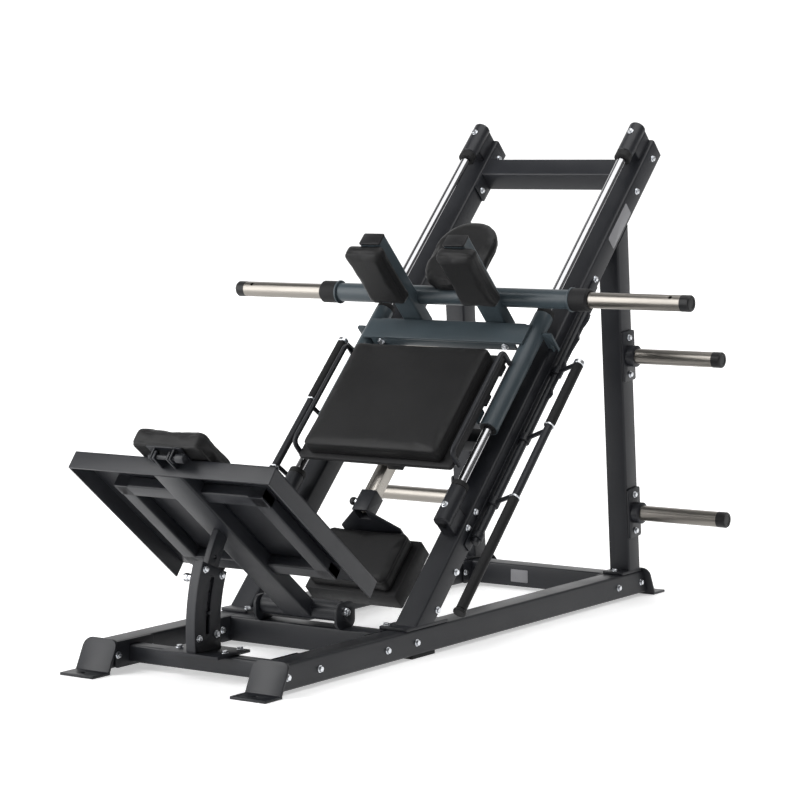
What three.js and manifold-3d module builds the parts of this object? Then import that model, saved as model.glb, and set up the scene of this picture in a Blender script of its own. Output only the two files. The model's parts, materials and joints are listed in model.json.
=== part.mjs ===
// Plate-loaded leg press and hack squat machine. Millimetres, +Z up, +Y towards the rear posts.
// The origin is on the floor, under the middle of the machine.
import * as THREE from "three";
import { mergeVertices } from "three/addons/utils/BufferGeometryUtils.js";
import Module from "manifold-3d";

const wasm = await Module();
wasm.setup();

// Driving dimensions
const TUBE = 75;              // main square tube
const WALL = 3;               // tube wall
const PLATE = 8;              // feet, flanges and brackets
const GAP = 0.3;              // between pieces that touch
const RAIL_X = 300;           // floor rails, uprights and guide rods, from the middle
const RAIL_Z0 = 10;           // underside of the floor rails
const RAIL_Z1 = RAIL_Z0 + TUBE;
const RAIL_Y = [-999.5, 999.5];
const INNER_X = RAIL_X - TUBE / 2;
const OUTER_X = RAIL_X + TUBE / 2;
const BASE_Z = 95;            // top of the base plates on the rails

const INCLINE = 45;           // degrees, uprights and guide rods
const INCLINE_Y = -361.5;     // where the uprights' front face meets the base plates
const UPRIGHT_L = 1994;
const ROD_Z = 57;             // guide rod axis above the uprights' front face
const ROD_R = 15;
const SOCKET_R = 27;
const LOWER_SOCKET = [334, 463.7];
const UPPER_SOCKET = [1845, 1993];

const SLED = [699, 1156];     // slide tubes at rest, along the incline
const SLIDE_R = 30;
const HORN = { y: 1159, z: 139, r: 30, sleeve: 25, hub: 500, end: 847 };
const PAD_X = 255;
const BOARD_X = 281;

const SAFETY = { x: 360, z: -52, r: 12.5, arm: 113 };
const SAFETY_ANGLE = { right: 28, left: 70 };

const PIVOT = { y: -447.5, z: 133, r: 12.5, sleeve: 30 };
const TILT = -38;             // degrees, the platform at rest
const PLATFORM = { x: 349, y0: -775, y1: -175, top: 20, sheet: 6, lip: 54 };
const HEAD_PIN = { y: -814, z: 0, r: 7 };
const STRUT_R = 472;

const SEAT_RAIL = { z: 42, size: 40, y0: 372, y1: 760 };
const SEAT = { x: 155, y0: 144, y1: 348, z0: -68, z1: -11 };

const rad = THREE.MathUtils.degToRad;
const cos = (degrees) => Math.cos(rad(degrees));
const sin = (degrees) => Math.sin(rad(degrees));

// Finishes
function finish(color, roughness, metalness) {
  return new THREE.MeshStandardMaterial({ color, roughness, metalness });
}
const black = finish(0x26282b, 0.45, 0.3);
const blue = finish(0x46525a, 0.4, 0.4);
const chrome = finish(0xd8dadc, 0.12, 1);
const nickel = finish(0xb3a89a, 0.3, 1);
const vinyl = finish(0x1d1d1f, 0.55, 0);
const rubber = finish(0x141415, 0.8, 0);

// Closed shapes, in the axes of the group that they go in
function block(x, y, z) {
  const box = new THREE.BoxGeometry(x[1] - x[0], y[1] - y[0], z[1] - z[0]);
  return box.translate((x[0] + x[1]) / 2, (y[0] + y[1]) / 2, (z[0] + z[1]) / 2);
}

// Turns a shape drawn along +Z so that it runs along the named axis.
function along(axis, geometry) {
  if (axis === "x") return geometry.rotateY(Math.PI / 2);
  if (axis === "y") return geometry.rotateX(-Math.PI / 2);
  return geometry;
}

function put(axis, geometry, from, centre) {
  const [a, b] = centre;
  const place = { x: [from, a, b], y: [a, from, b], z: [a, b, from] }[axis];
  return along(axis, geometry).translate(...place);
}

function round(axis, radius, span, centre, sides = 16) {
  const length = span[1] - span[0];
  const rod = new THREE.CylinderGeometry(radius, radius, length, sides);
  rod.rotateX(Math.PI / 2).translate(0, 0, length / 2);
  return put(axis, rod, span[0], centre);
}

// A ring or sleeve, turned from a closed outline of [radius, station] points.
function turned(axis, outline, centre, sides = 16) {
  const area = THREE.ShapeUtils.area(outline.map(([r, s]) => ({ x: r, y: s })));
  const loop = area > 0 ? outline : [...outline].reverse();
  const points = [...loop, loop[0]].map(([r, s]) => new THREE.Vector2(r, s));
  const lathe = new THREE.LatheGeometry(points, sides).rotateX(Math.PI / 2);
  return put(axis, lathe, 0, centre);
}

function sleeve(axis, outer, inner, span, centre, sides = 16) {
  const outline = [[inner, span[1]], [inner, span[0]], [outer, span[0]], [outer, span[1]]];
  return turned(axis, outline, centre, sides);
}

function rectangle(width, height) {
  const [w, h] = [width / 2, height / 2];
  const corners = [[-w, -h], [w, -h], [w, h], [-w, h]];
  return new THREE.Shape(corners.map(([x, y]) => new THREE.Vector2(x, y)));
}

function sweep(shape, depth, curveSegments = 8) {
  return new THREE.ExtrudeGeometry(shape, { depth, bevelEnabled: false, curveSegments });
}

// A rectangular tube, open at both ends.
function tube(axis, size, span, centre, wall = WALL) {
  const section = axis === "x" ? [size[1], size[0]] : size;
  const shape = rectangle(...section);
  shape.holes.push(rectangle(section[0] - 2 * wall, section[1] - 2 * wall));
  return put(axis, sweep(shape, span[1] - span[0]), span[0], centre);
}

// A plate with an outline in Y and Z, and its thickness along X.
function sidePlate(points, x) {
  const shape = new THREE.Shape(points.map(([y, z]) => new THREE.Vector2(y, z)));
  return sideways(sweep(shape, x[1] - x[0]), x[0]);
}

function sideways(geometry, x) {
  const turn = new THREE.Matrix4().set(0, 0, 1, x, 1, 0, 0, 0, 0, 1, 0, 0, 0, 0, 0, 1);
  return geometry.applyMatrix4(turn);
}

// A plate with an outline in X and Y, and its thickness along Z.
function flatPlate(points, z) {
  const shape = new THREE.Shape(points.map(([x, y]) => new THREE.Vector2(x, y)));
  return sweep(shape, z[1] - z[0]).translate(0, 0, z[0]);
}

// Moves the two ends of a straight piece to slanted cuts.
function mitre(geometry, axis, lowEnd, highEnd) {
  const at = geometry.getAttribute("position");
  const get = axis === "y" ? "getY" : "getZ";
  const set = axis === "y" ? "setY" : "setZ";
  const other = axis === "y" ? "getZ" : "getY";
  const stations = Array.from({ length: at.count }, (_, i) => at[get](i));
  const middle = (Math.min(...stations) + Math.max(...stations)) / 2;
  stations.forEach((station, i) => {
    const cut = station < middle ? lowEnd : highEnd;
    if (cut) at[set](i, cut(at[other](i)));
  });
  geometry.computeVertexNormals();
  return geometry;
}

// Booleans
function solid(geometry) {
  const bare = geometry.clone();
  bare.deleteAttribute("normal");
  bare.deleteAttribute("uv");
  const merged = mergeVertices(bare, 0.001);
  const vertProperties = new Float32Array(merged.getAttribute("position").array);
  const triVerts = new Uint32Array(merged.index.array);
  return new wasm.Manifold(new wasm.Mesh({ numProp: 3, vertProperties, triVerts }));
}

function surface(manifold) {
  const mesh = manifold.getMesh();
  const geometry = new THREE.BufferGeometry();
  geometry.setAttribute("position", new THREE.BufferAttribute(mesh.vertProperties, 3));
  geometry.setIndex(new THREE.BufferAttribute(mesh.triVerts, 1));
  geometry.computeVertexNormals();
  return geometry;
}

const join = (...pieces) => surface(pieces.map(solid).reduce((a, b) => a.add(b)));
const cut = (base, ...tools) => surface(tools.map(solid).reduce((a, b) => a.subtract(b), solid(base)));

// Groups: the frame's own axes, the incline along the guide rods, and the tilted platform
const machine = new THREE.Group();
const incline = new THREE.Group();
incline.position.set(0, INCLINE_Y, BASE_Z);
incline.rotation.x = rad(INCLINE);
const platform = new THREE.Group();
platform.position.set(0, PIVOT.y, PIVOT.z);
platform.rotation.x = rad(TILT);
machine.add(incline, platform);

function part(group, name, geometry, material, x = 0) {
  const mesh = new THREE.Mesh(geometry, material);
  mesh.name = name;
  mesh.position.x = x;
  group.add(mesh);
}

const SIDES = [["left", -1], ["right", 1]];
const spanX = (side, a, b) => (side > 0 ? [a, b] : [-b, -a]);

// ---- Base frame ----

// One bent foot: a flange on the floor and a leaning plate that closes the rail's end.
function foot(end) {
  const [toe, heel, width, flange] = [112.5, 45, 120, PLATE];
  const lean = heel - 3;
  const round0 = 22;
  const shape = new THREE.Shape();
  const height = Math.hypot(lean, RAIL_Z1 + 6);
  shape.moveTo(-width / 2, 0);
  shape.lineTo(width / 2, 0);
  shape.lineTo(width / 2, height - round0);
  shape.quadraticCurveTo(width / 2, height, width / 2 - round0, height);
  shape.lineTo(-width / 2 + round0, height);
  shape.quadraticCurveTo(-width / 2, height, -width / 2, height - round0);
  const leaning = sweep(shape, flange, 4).rotateX(Math.PI / 2);
  leaning.rotateX(-Math.atan2(lean, RAIL_Z1 + 6)).translate(0, -heel + flange, 0);
  const floor = block([-width / 2, width / 2], [-toe, -heel + flange + 2], [0, flange]);
  const piece = cut(join(leaning, floor), round("z", 8, [-5, 20], [0, -(toe + heel) / 2], 16));
  if (end > 0) piece.rotateZ(Math.PI);
  return piece.translate(0, RAIL_Y[end < 0 ? 0 : 1], 0);
}

const FRONT_Y = -907.5;
const CROSS_Y = -427.5;
const REAR_Y = 911.5;

function rail(side, name) {
  const lean = 42 / (RAIL_Z1 + 6);
  const drop = (z) => (RAIL_Z1 - z) * lean;
  const body = tube("y", [TUBE, TUBE], RAIL_Y, [0, RAIL_Z0 + TUBE / 2]);
  mitre(body, "y", (z) => RAIL_Y[0] - drop(z), (z) => RAIL_Y[1] + drop(z));
  const holes = [FRONT_Y, REAR_Y].map((y) => {
    return block(spanX(side, -40, -30), [y - 20, y + 20], [35, 60]);
  });
  part(machine, name, cut(join(body, foot(-1), foot(1)), ...holes), black, side * RAIL_X);
}
SIDES.forEach(([name, side]) => rail(side, `rail_${name}`));

// A cross tube with a bolted flange on each end.
function crossTube(y, size, z) {
  const half = INNER_X - GAP;
  const body = tube("x", size, [-half + 1, half - 1], [y, (z[0] + z[1]) / 2]);
  const flanges = SIDES.map(([, side]) => {
    return block(spanX(side, half - 6, half), [y - 85, y + 85], [RAIL_Z0, RAIL_Z1]);
  });
  const openings = SIDES.map(([, side]) => {
    return block(spanX(side, half - 7, half + 1), [y - size[0] / 4, y + size[0] / 4], [z[0] + 15, z[1] - 15]);
  });
  return cut(join(body, ...flanges), ...openings);
}
part(machine, "front_cross_tube", crossTube(FRONT_Y, [50, 50], [20, 70]), black);
part(machine, "rear_cross_tube", crossTube(REAR_Y, [TUBE, TUBE], [RAIL_Z0, RAIL_Z1]), black);

// The pivot's cross tube carries two upright ears with the pivot pin's holes.
function pivotCrossTube() {
  const ears = SIDES.map(([, side]) => {
    const [y, z, r] = [PIVOT.y, PIVOT.z, 28];
    const outline = [[y - 42, RAIL_Z1 - 1], [y + 50, RAIL_Z1 - 1], [y + r, z + 12], [y + 12, z + r]];
    outline.push([y - 12, z + r], [y - r, z + 12]);
    return sidePlate(outline, spanX(side, 141, 151));
  });
  const bore = round("x", PIVOT.r + GAP, [-160, 160], [PIVOT.y, PIVOT.z]);
  return cut(join(crossTube(CROSS_Y, [TUBE, TUBE], [RAIL_Z0, RAIL_Z1]), ...ears), bore);
}
part(machine, "pivot_cross_tube", pivotCrossTube(), black);
part(machine, "pivot_pin", round("x", PIVOT.r, [-158, 158], [PIVOT.y, PIVOT.z]), chrome);

// ---- Uprights, guide rods and rear posts ----

function upright(side) {
  const body = tube("y", [TUBE, TUBE], [0, UPRIGHT_L], [0, -TUBE / 2]);
  mitre(body, "y", (z) => -z, null);
  const base = block([side > 0 ? -60 : -TUBE / 2, side > 0 ? TUBE / 2 : 60], [-46, 179], [-9.7, 2]);
  base.rotateX(rad(-INCLINE));
  const sockets = [LOWER_SOCKET, UPPER_SOCKET].map((s) => round("y", SOCKET_R, s, [0, ROD_Z]));
  const blocks = [block([-24, 24], [334, 409], [-1, ROD_Z]), block([-24, 24], [1898, 1993], [-1, ROD_Z])];
  const bore = round("y", ROD_R + GAP, [344, 1983], [0, ROD_Z]);
  const inside = block([-34.5, 34.5], [80, 300], [-72, -3]);
  return cut(join(body, base, ...sockets, ...blocks), bore, inside);
}

function guideRod() {
  return round("y", ROD_R, [344 + GAP, 1983 - GAP], [0, ROD_Z], 20);
}

// The rear post leans forward a little and is cut to the upright's rear face.
const POST = { y: 907, lean: 5 };
function rearPost() {
  const reach = POST.y - INCLINE_Y - TUBE * Math.SQRT2 - 2 * GAP;
  const top = (y) => (reach + y * (cos(POST.lean) - sin(POST.lean))) / (cos(POST.lean) + sin(POST.lean));
  const body = tube("z", [TUBE, TUBE], [0, 1000], [0, TUBE / 2]);
  mitre(body, "z", (y) => -y * Math.tan(rad(POST.lean)) - 2, top);
  const base = block([-TUBE / 2, TUBE / 2], [-45, 84], [-9.7, 0]).rotateX(rad(-POST.lean));
  const inside = block([-34.5, 34.5], [3, 72], [0, 900]);
  const post = cut(join(body, base), inside);
  return post.rotateX(rad(POST.lean)).translate(0, POST.y, BASE_Z);
}

function upperCrossTube() {
  const [y, half] = [1870.5, INNER_X - GAP];
  const body = tube("x", [TUBE, TUBE], [-half + 1, half - 1], [y, -TUBE / 2]);
  const flanges = SIDES.map(([, side]) => block(spanX(side, half - 6, half), [y - 95, y + 95], [-TUBE, 0]));
  const openings = SIDES.map(([, side]) => block(spanX(side, half - 7, half + 1), [y - 20, y + 20], [-58, -17]));
  return cut(join(body, ...flanges), ...openings);
}
part(incline, "upper_cross_tube", upperCrossTube(), black);

for (const [name, side] of SIDES) {
  part(incline, `upright_${name}`, upright(side), black, side * RAIL_X);
  part(incline, `guide_rod_${name}`, guideRod(), chrome, side * RAIL_X);
  const bumper = sleeve("y", SOCKET_R, ROD_R + GAP, [464, 484], [0, ROD_Z]);
  part(incline, `bumper_${name}`, bumper, rubber, side * RAIL_X);
  part(machine, `rear_post_${name}`, rearPost(), black, side * RAIL_X);
}

// ---- Plate storage horns on the rear posts ----

function storageHorn(side, z) {
  const y = POST.y - (z - BASE_Z) * Math.tan(rad(POST.lean)) + TUBE / 2;
  const x = OUTER_X + GAP;
  const outline = [[20, x + PLATE + 30], [20, 684], [25, 684], [25, x + 36], [35, x + 36]];
  outline.push([35, x + 2], [15, x + 2], [15, x + PLATE + 30]);
  const spindle = turned("x", outline, [0, 0]);
  const bracket = block([x, x + PLATE], [-TUBE / 2, TUBE / 2], [-82, 82]).rotateX(rad(POST.lean));
  const horn = join(spindle, bracket);
  if (side < 0) horn.rotateZ(Math.PI);
  return horn.translate(0, y, z);
}
for (const [level, z] of [["upper", 805], ["lower", 287]]) {
  for (const [name, side] of SIDES) {
    part(machine, `storage_horn_${level}_${name}`, storageHorn(side, z), nickel);
  }
}

// ---- Sled, which slides along the guide rods ----

// The fork reaches over the safety shaft on the outside of the upright.
function slideTube(side) {
  const body = sleeve("y", SLIDE_R, 26, SLED, [0, ROD_Z], 20);
  const fork = cut(
    block(spanX(side, 28, 64), [1074, 1082], [-12, 68]),
    block(spanX(side, 46, 57), [1070, 1086], [-20, 14]),
    block(spanX(side, 20, 38.5), [1070, 1086], [-20, 2]),
    round("y", 26.5, [1070, 1086], [0, ROD_Z], 20),
  );
  return join(body, fork);
}

function linearBearing() {
  const [inner, outer] = [ROD_R + GAP, 25.6];
  const outline = [[inner, 1176], [29, 1176], [29, SLED[1] + GAP], [outer, SLED[1] + GAP]];
  outline.push([outer, SLED[0] + 2], [inner, SLED[0] + 2]);
  return turned("y", outline, [0, ROD_Z], 20);
}
for (const [name, side] of SIDES) {
  part(incline, `slide_tube_${name}`, slideTube(side), blue, side * RAIL_X);
  part(incline, `linear_bearing_${name}`, linearBearing(), rubber, side * RAIL_X);
}

// Cover plate over the slide tubes, with its lower edge folded down between them.
function crossPlate() {
  const [y0, y1, z0, z1] = [1011, 1089, 87.3, 97];
  const top = block([-298, 298], [y0, y1], [z0, z1]);
  const lip = block([-268, 268], [y0, y0 + 8], [60, z0 + 1]);
  return join(top, lip);
}
part(incline, "sled_cross_plate", crossPlate(), blue);
part(incline, "sled_cross_tube", tube("x", [50, 50], [-269.5, 269.5], [1078, 61.5]), blue);
part(incline, "sled_lower_tube", tube("x", [50, 18], [-269.5, 269.5], [727, 78]), blue);

// The horn tube carries both weight sleeves; its collars stop the plates.
function hornTube() {
  const { y, z, r, hub } = HORN;
  const outline = [[16, -640], [16, 640], [20.4, 640], [20.4, hub - GAP], [35.5, hub - GAP], [35.5, 438]];
  outline.push([38, 438], [38, 432], [r, 432], [r, -432], [38, -432], [38, -438]);
  outline.push([35.5, -438], [35.5, -hub + GAP], [20.4, -hub + GAP], [20.4, -640]);
  return turned("x", outline, [y, z], 20);
}
part(incline, "horn_tube", hornTube(), blue);

for (const [name, side] of SIDES) {
  const span = spanX(side, HORN.hub, HORN.end);
  const horn = sleeve("x", HORN.sleeve, 20.7, span, [HORN.y, HORN.z], 20);
  part(incline, `horn_sleeve_${name}`, horn, nickel);
}

// Shoulder posts stand square to the sled, notched around the horn tube.
const SHOULDER = { x: 155, w: 75, y: [1104, 1149], z: [38, 428] };
function shoulderPost() {
  const [y0, y1] = SHOULDER.y;
  const body = tube("z", [SHOULDER.w, y1 - y0], SHOULDER.z, [0, (y0 + y1) / 2]);
  return cut(body, round("x", HORN.r + GAP, [-60, 60], [HORN.y, HORN.z], 20));
}

function roundedPad(x, y, z, r) {
  const [w, h] = [(x[1] - x[0]) / 2, (y[1] - y[0]) / 2];
  const shape = new THREE.Shape();
  shape.moveTo(-w + r, -h);
  shape.lineTo(w - r, -h);
  shape.quadraticCurveTo(w, -h, w, -h + r);
  shape.lineTo(w, h - r);
  shape.quadraticCurveTo(w, h, w - r, h);
  shape.lineTo(-w + r, h);
  shape.quadraticCurveTo(-w, h, -w, h - r);
  shape.lineTo(-w, -h + r);
  shape.quadraticCurveTo(-w, -h, -w + r, -h);
  const pad = sweep(shape, z[1] - z[0], 3);
  return pad.translate((x[0] + x[1]) / 2, (y[0] + y[1]) / 2, z[0]);
}

for (const [name, side] of SIDES) {
  part(incline, `shoulder_post_${name}`, shoulderPost(), blue, side * SHOULDER.x);
  const pad = roundedPad(spanX(side, 98, 240), [-432, -192], [0, 48], 22).rotateX(-Math.PI / 2);
  pad.translate(0, SHOULDER.y[0] - GAP - 48, 0);
  part(incline, `shoulder_pad_${name}`, pad, vinyl);
}

// Head pad with a round top, on a folded bracket behind the horn tube.
function headPad() {
  const [r, y0, y1] = [115, 1136, 1424];
  const shape = new THREE.Shape();
  shape.moveTo(-r + 15, y0);
  shape.lineTo(r - 15, y0);
  shape.quadraticCurveTo(r, y0, r, y0 + 15);
  shape.lineTo(r, y1 - r);
  shape.absarc(0, y1 - r, r, 0, Math.PI, false);
  shape.lineTo(-r, y0 + 15);
  shape.quadraticCurveTo(-r, y0, -r + 15, y0);
  return sweep(shape, 41, 10).translate(0, 0, 171.2);
}
part(incline, "head_pad", headPad(), vinyl);
const headFoot = block([-45, 45], [1189.4, 1195.4], [112, 170.8]);
part(incline, "head_pad_bracket", join(block([-45, 45], [1189.4, 1340], [165, 170.8]), headFoot), blue);

part(incline, "back_pad", roundedPad([-PAD_X, PAD_X], [504, 939], [113, 168], 25), vinyl);

function backBoard() {
  const board = block([-BOARD_X, BOARD_X], [500, 945], [99, 112.7]);
  const battens = [[760, 800], [880, 920]].map((y) => block([-BOARD_X, BOARD_X], y, [87.5, 100]));
  const latch = block([40, 92], [502, 532], [76, 100]);
  return join(board, ...battens, latch);
}
part(incline, "back_board", backBoard(), black);

// Hand rails beside the back pad, with both ends turned down to the board's edge.
function sideHandle() {
  const [x, z0, z1, r, bend] = [0, 92, 152, 8, 22];
  const path = new THREE.CurvePath();
  const point = (y, z) => new THREE.Vector3(x, y, z);
  path.add(new THREE.LineCurve3(point(525, z0), point(525, z1 - bend)));
  path.add(new THREE.QuadraticBezierCurve3(point(525, z1 - bend), point(525, z1), point(525 + bend, z1)));
  path.add(new THREE.LineCurve3(point(525 + bend, z1), point(930 - bend, z1)));
  path.add(new THREE.QuadraticBezierCurve3(point(930 - bend, z1), point(930, z1), point(930, z1 - bend)));
  path.add(new THREE.LineCurve3(point(930, z1 - bend), point(930, z0)));
  const section = new THREE.Shape();
  section.absarc(0, 0, r, 0, 2 * Math.PI, false);
  return new THREE.ExtrudeGeometry(section, { steps: 26, extrudePath: path, curveSegments: 4 });
}
for (const [name, side] of SIDES) {
  part(incline, `side_handle_${name}`, sideHandle(), black, side * (BOARD_X + 8.6));
}

// ---- Safety bars, which turn on a shaft along each upright ----

function safetyRail(side) {
  const near = OUTER_X + GAP - SAFETY.x;
  const strip = block(spanX(side, near, near + 5), [330, 1400], [SAFETY.z - 18, SAFETY.z + 18]);
  const eyes = [[366, 386], [1324, 1344]].map((y) => {
    return cut(round("y", 18, y, [0, SAFETY.z]), block(spanX(side, -30, near), y, [-80, -20]));
  });
  return cut(join(strip, ...eyes), round("y", SAFETY.r + GAP, [350, 1360], [0, SAFETY.z]));
}

// Shaft, three arms, the outer bar and the toothed catch plate, drawn with the arms along +X.
function safetyBar(side, angle) {
  const { r, arm } = SAFETY;
  const shaft = sleeve("y", r, r - 4, [350, 1352], [0, 0]);
  const bar = sleeve("y", r, r - 4, [70, 1032], [arm, 0]);
  const arms = [505, 755, 1025].map((y) => round("x", 7, [r - 2, arm - r + 2], [y, 0], 12));
  const teeth = [[9, 905]];
  for (const y of [965, 1078, 1191]) {
    teeth.push([34, y - 45], [34, y - 32], [16, y - 10], [16, y + 8]);
  }
  teeth.push([34, 1225], [34, 1245], [9, 1275]);
  const frame = join(shaft, bar, ...arms, flatPlate(teeth, [-4, 4]));
  const cuts = [round("y", r - 4, [340, 1360], [0, 0]), round("y", r - 4, [60, 1040], [arm, 0])];
  return turnOut(cut(frame, ...cuts), side, angle);
}

function turnOut(geometry, side, angle) {
  geometry.rotateY(rad(side > 0 ? -angle : 180 + angle));
  return geometry.translate(0, 0, SAFETY.z);
}

function grip(side, angle, span) {
  return turnOut(sleeve("y", 16, SAFETY.r + GAP, span, [SAFETY.arm, 0]), side, angle);
}

for (const [name, side] of SIDES) {
  const angle = SAFETY_ANGLE[name];
  const x = side * SAFETY.x;
  part(incline, `safety_rail_${name}`, safetyRail(side), black, x);
  part(incline, `safety_bar_${name}`, safetyBar(side, angle), black, x);
  part(incline, `upper_grip_${name}`, grip(side, angle, [775, 1014]), rubber, x);
  part(incline, `lower_grip_${name}`, grip(side, angle, [72, 488]), rubber, x);
}

// ---- Seat, which slides on its own rail ----

const { z: RAIL_MID, size: RAIL_SIZE } = SEAT_RAIL;
function seatRail() {
  const body = tube("y", [RAIL_SIZE, RAIL_SIZE], [SEAT_RAIL.y0, SEAT_RAIL.y1], [0, RAIL_MID]);
  const holes = [0, 60, 120].map((step) => {
    return round("x", 5.5, [-30, 0], [398 + step, RAIL_MID], 12);
  });
  return cut(body, ...holes);
}
part(incline, "seat_rail", seatRail(), nickel);

function seatRailSupport() {
  const half = INNER_X - GAP;
  const beam = tube("x", [50, 50], [-half, half], [727, -38]);
  const foot0 = block([-30, 30], [705, 755], [-15, RAIL_MID - RAIL_SIZE / 2 - GAP]);
  return join(beam, cut(foot0, block([-26, 26], [704, 756], [-16, RAIL_MID - RAIL_SIZE / 2 - 6])));
}
part(incline, "seat_rail_support", seatRailSupport(), black);

// The yoke's sleeve runs on the rail; its plate goes down behind the seat.
function seatYoke() {
  const [low, high] = [RAIL_MID - 25, RAIL_MID + 25];
  const wings = flatPlate([[-108, -128], [108, -128], [108, -20], [27, high - 10], [-27, high - 10], [-108, -20]], [0, 7]);
  wings.rotateX(Math.PI / 2).translate(0, SEAT.y1 + 9, 0);
  const piece = join(block([-27, 27], [SEAT.y1 + 3, 428], [low, high]), wings);
  const run = RAIL_SIZE / 2 + 0.5;
  const bore = block([-run, run], [SEAT.y1, 430], [RAIL_MID - run, RAIL_MID + run]);
  return cut(piece, bore, round("x", 5.5, [-40, 0], [398, RAIL_MID], 12));
}
part(incline, "seat_yoke", seatYoke(), black);
const PIN_TIP = -RAIL_SIZE / 2 - GAP;
const seatPin = join(
  round("x", 5, [-42, PIN_TIP], [398, RAIL_MID], 12),
  round("x", 13, [-66, -40], [398, RAIL_MID], 16),
);
part(incline, "seat_pin", seatPin, chrome);
part(incline, "seat_pad", roundedPad([-SEAT.x, SEAT.x], [SEAT.y0, SEAT.y1], [SEAT.z0, SEAT.z1], 22), vinyl);
part(incline, "seat_base", block([-165, 165], [142, 350], [-128, SEAT.z0 - GAP]), black);

// ---- Platform, which tilts on the pivot pin ----

function platformPlate() {
  const { x, y0, y1, top, sheet, lip } = PLATFORM;
  const plate = block([-x, x], [y0, y1], [top - sheet, top]);
  const front = block([-x, x], [y0, y0 + 5], [top - lip, top]);
  const skirts = SIDES.map(([, side]) => block(spanX(side, x - 5, x), [y0, y1], [top - lip, top]));
  const loops = SIDES.map(([, side]) => block(spanX(side, 20, 28), [HEAD_PIN.y - 12, y0 + 1], [-12, 12]));
  const bore = round("x", HEAD_PIN.r + GAP, [-40, 40], [HEAD_PIN.y, HEAD_PIN.z], 16);
  return cut(join(plate, front, ...skirts, ...loops), bore);
}
part(platform, "platform_plate", platformPlate(), black);

// Welded underframe of channels, with the centre beam down to the pivot sleeve.
function channel(x, y, z, wall = 4) {
  const inner = block([x[0] + wall, x[1] - wall], [y[0] + wall, y[1] - wall], [z[0] + wall, z[1] + 1]);
  return cut(block(x, y, z), inner);
}

function platformFrame() {
  const z = [-21, PLATFORM.top - PLATFORM.sheet - GAP];
  const members = [channel([-260, 260], [-672, -620], z), channel([-260, 260], [-288, -236], z)];
  SIDES.forEach(([, side]) => members.push(channel(spanX(side, 210, 260), [-672, -236], z)));
  const beam = channel([-49, 49], [-768, -10], [-34, z[1]]);
  const hub = round("x", PIVOT.sleeve, [-138, 138], [0, 0]);
  return cut(join(...members, beam, hub), round("x", PIVOT.r + GAP, [-140, 140], [0, 0]));
}
part(platform, "platform_frame", platformFrame(), black);

// Arc-shaped strut under the platform, and the slotted post that it runs in.
function arc(radii, angles, x) {
  const shape = new THREE.Shape();
  shape.absarc(0, 0, radii[1], rad(angles[0]), rad(angles[1]), false);
  shape.absarc(0, 0, radii[0], rad(angles[1]), rad(angles[0]), true);
  shape.closePath();
  const plate = sideways(sweep(shape, x[1] - x[0], 7), x[0]);
  return plate.scale(1, -1, 1);
}

function flip(geometry) {
  const index = geometry.index;
  if (index) {
    for (let i = 0; i < index.count; i += 3) {
      const keep = index.getX(i);
      index.setX(i, index.getX(i + 2));
      index.setX(i + 2, keep);
    }
    return geometry;
  }
  const at = geometry.getAttribute("position");
  for (let i = 0; i < at.count; i += 3) {
    for (const get of [0, 1, 2]) {
      const keep = at.getComponent(i, get);
      at.setComponent(i, get, at.getComponent(i + 2, get));
      at.setComponent(i + 2, get, keep);
    }
  }
  return geometry;
}

const STRUT = [STRUT_R - 25, STRUT_R + 25];
const PIN_ANGLE = 17.4;
const onArc = (r, a) => [PIVOT.y - r * cos(a), PIVOT.z + r * sin(a)];

function strut() {
  const body = flip(arc(STRUT, [5, 36], [-9, 9])).translate(0, PIVOT.y, PIVOT.z);
  const holes = [-8, -4, 0, 4, 8].map((step) => {
    return round("x", 6.5, [-20, 20], onArc(STRUT_R, PIN_ANGLE + step), 12);
  });
  const bolt = round("x", 5, [8, 21], onArc(STRUT_R, 6.3), 12);
  return join(cut(body, ...holes), bolt);
}
const beamSide = block([-20, 20], [-600, -300], [-34 - GAP, 60]);
const strutGeometry = cut(strut().translate(0, -PIVOT.y, -PIVOT.z).rotateX(rad(-TILT)), beamSide);
part(platform, "selector_strut", strutGeometry, black);

function selectorPost() {
  const side = (x) => flip(arc([415, 530], [-8, 22], x));
  const slot = flip(arc([STRUT_R - 8, STRUT_R + 8], [-1, 18.5], [8, 20]));
  const spacers = [[415, 444], [500, 530]].map((radii) => flip(arc(radii, [-8, 22], [-10, 10])));
  const arcs = cut(join(side([-16, -9.5]), side([9.5, 16]), ...spacers), slot);
  arcs.translate(0, PIVOT.y, PIVOT.z);
  const keep = block([-30, 30], [-1100, -700], [74, 400]);
  const trimmed = surface(solid(arcs).intersect(solid(keep)));
  const base = block([-102, 102], [-986, -838], [70.3, 78.3]);
  return cut(join(trimmed, base), round("x", 6.5, [-30, 0], onArc(STRUT_R, PIN_ANGLE), 12));
}
part(machine, "selector_post", selectorPost(), black);
const [PIN_Y, PIN_Z] = onArc(STRUT_R, PIN_ANGLE);
const selectorPin = join(
  round("x", 6, [-34, -9.6], [PIN_Y, PIN_Z], 12),
  round("x", 11, [-66, -32], [PIN_Y, PIN_Z], 16),
);
part(machine, "selector_pin", selectorPin, chrome);

// Head rest on the platform's upper end, folding forward on its own pin.
part(platform, "headrest_pad", roundedPad([-128, 128], [-839, -668], [25, 83], 26), vinyl);
function headrestBracket() {
  const plate = block([-60, 60], [-832, -690], [PLATFORM.top + GAP, 24.7]);
  const ears = SIDES.map(([, side]) => {
    return block(spanX(side, 31, 37), [HEAD_PIN.y - 12, HEAD_PIN.y + 12], [-12, PLATFORM.top + 1]);
  });
  const pin = round("x", HEAD_PIN.r, [-49, 49], [HEAD_PIN.y, HEAD_PIN.z], 16);
  const knob = round("x", 13, [48, 76], [HEAD_PIN.y, HEAD_PIN.z], 16);
  return join(plate, ...ears, pin, knob);
}
part(platform, "headrest_bracket", headrestBracket(), black);

export default machine;
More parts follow.
